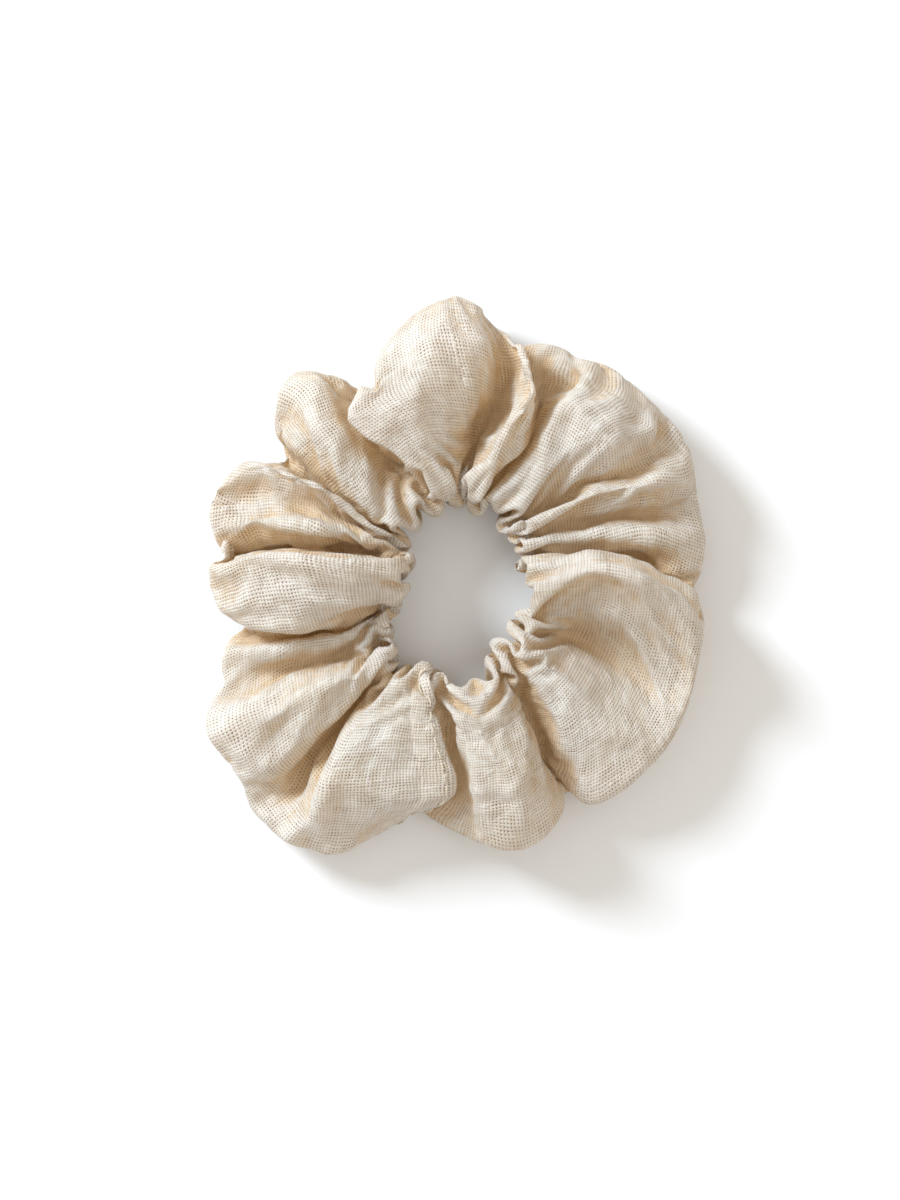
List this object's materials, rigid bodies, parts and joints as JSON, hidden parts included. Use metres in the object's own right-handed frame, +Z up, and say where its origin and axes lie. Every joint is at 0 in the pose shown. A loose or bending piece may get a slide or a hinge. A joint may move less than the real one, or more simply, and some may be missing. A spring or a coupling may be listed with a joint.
{
  "type": "hair scrunchie",
  "caption": "Full gathered ring of loosely woven cream cotton over a hidden elastic loop, lying flat, with soft uneven lobes and a tightly puckered centre hole.",
  "frame": {"origin": "under the middle of the scrunchie's box, on the surface it lies on", "axes": "+Z up through the hole, +Y towards the tallest lobe, +X the way the right half moves when the ring is stretched"},
  "size_m": [0.1106, 0.1224, 0.028],
  "materials": {
    "cotton": "loose plain weave, matte",
    "elastic": "flat braided elastic, matte",
    "thread": "spun sewing thread"
  },
  "bodies": {
    "left_half": {"cover_left": "cotton", "elastic_left": "elastic", "elastic_lap_end": "elastic", "elastic_tack": "thread", "side_seam_left": "thread", "closing_seam": "thread"},
    "right_half": {"cover_right": "cotton", "elastic_right": "elastic", "side_seam_right": "thread"}
  },
  "joints": [
    {"name": "stretch", "type": "slide", "parent": "left_half", "child": "right_half", "axis": [1, 0, 0], "range_m": [0, 0.06], "stiffness_N_per_m": 120}
  ]
}
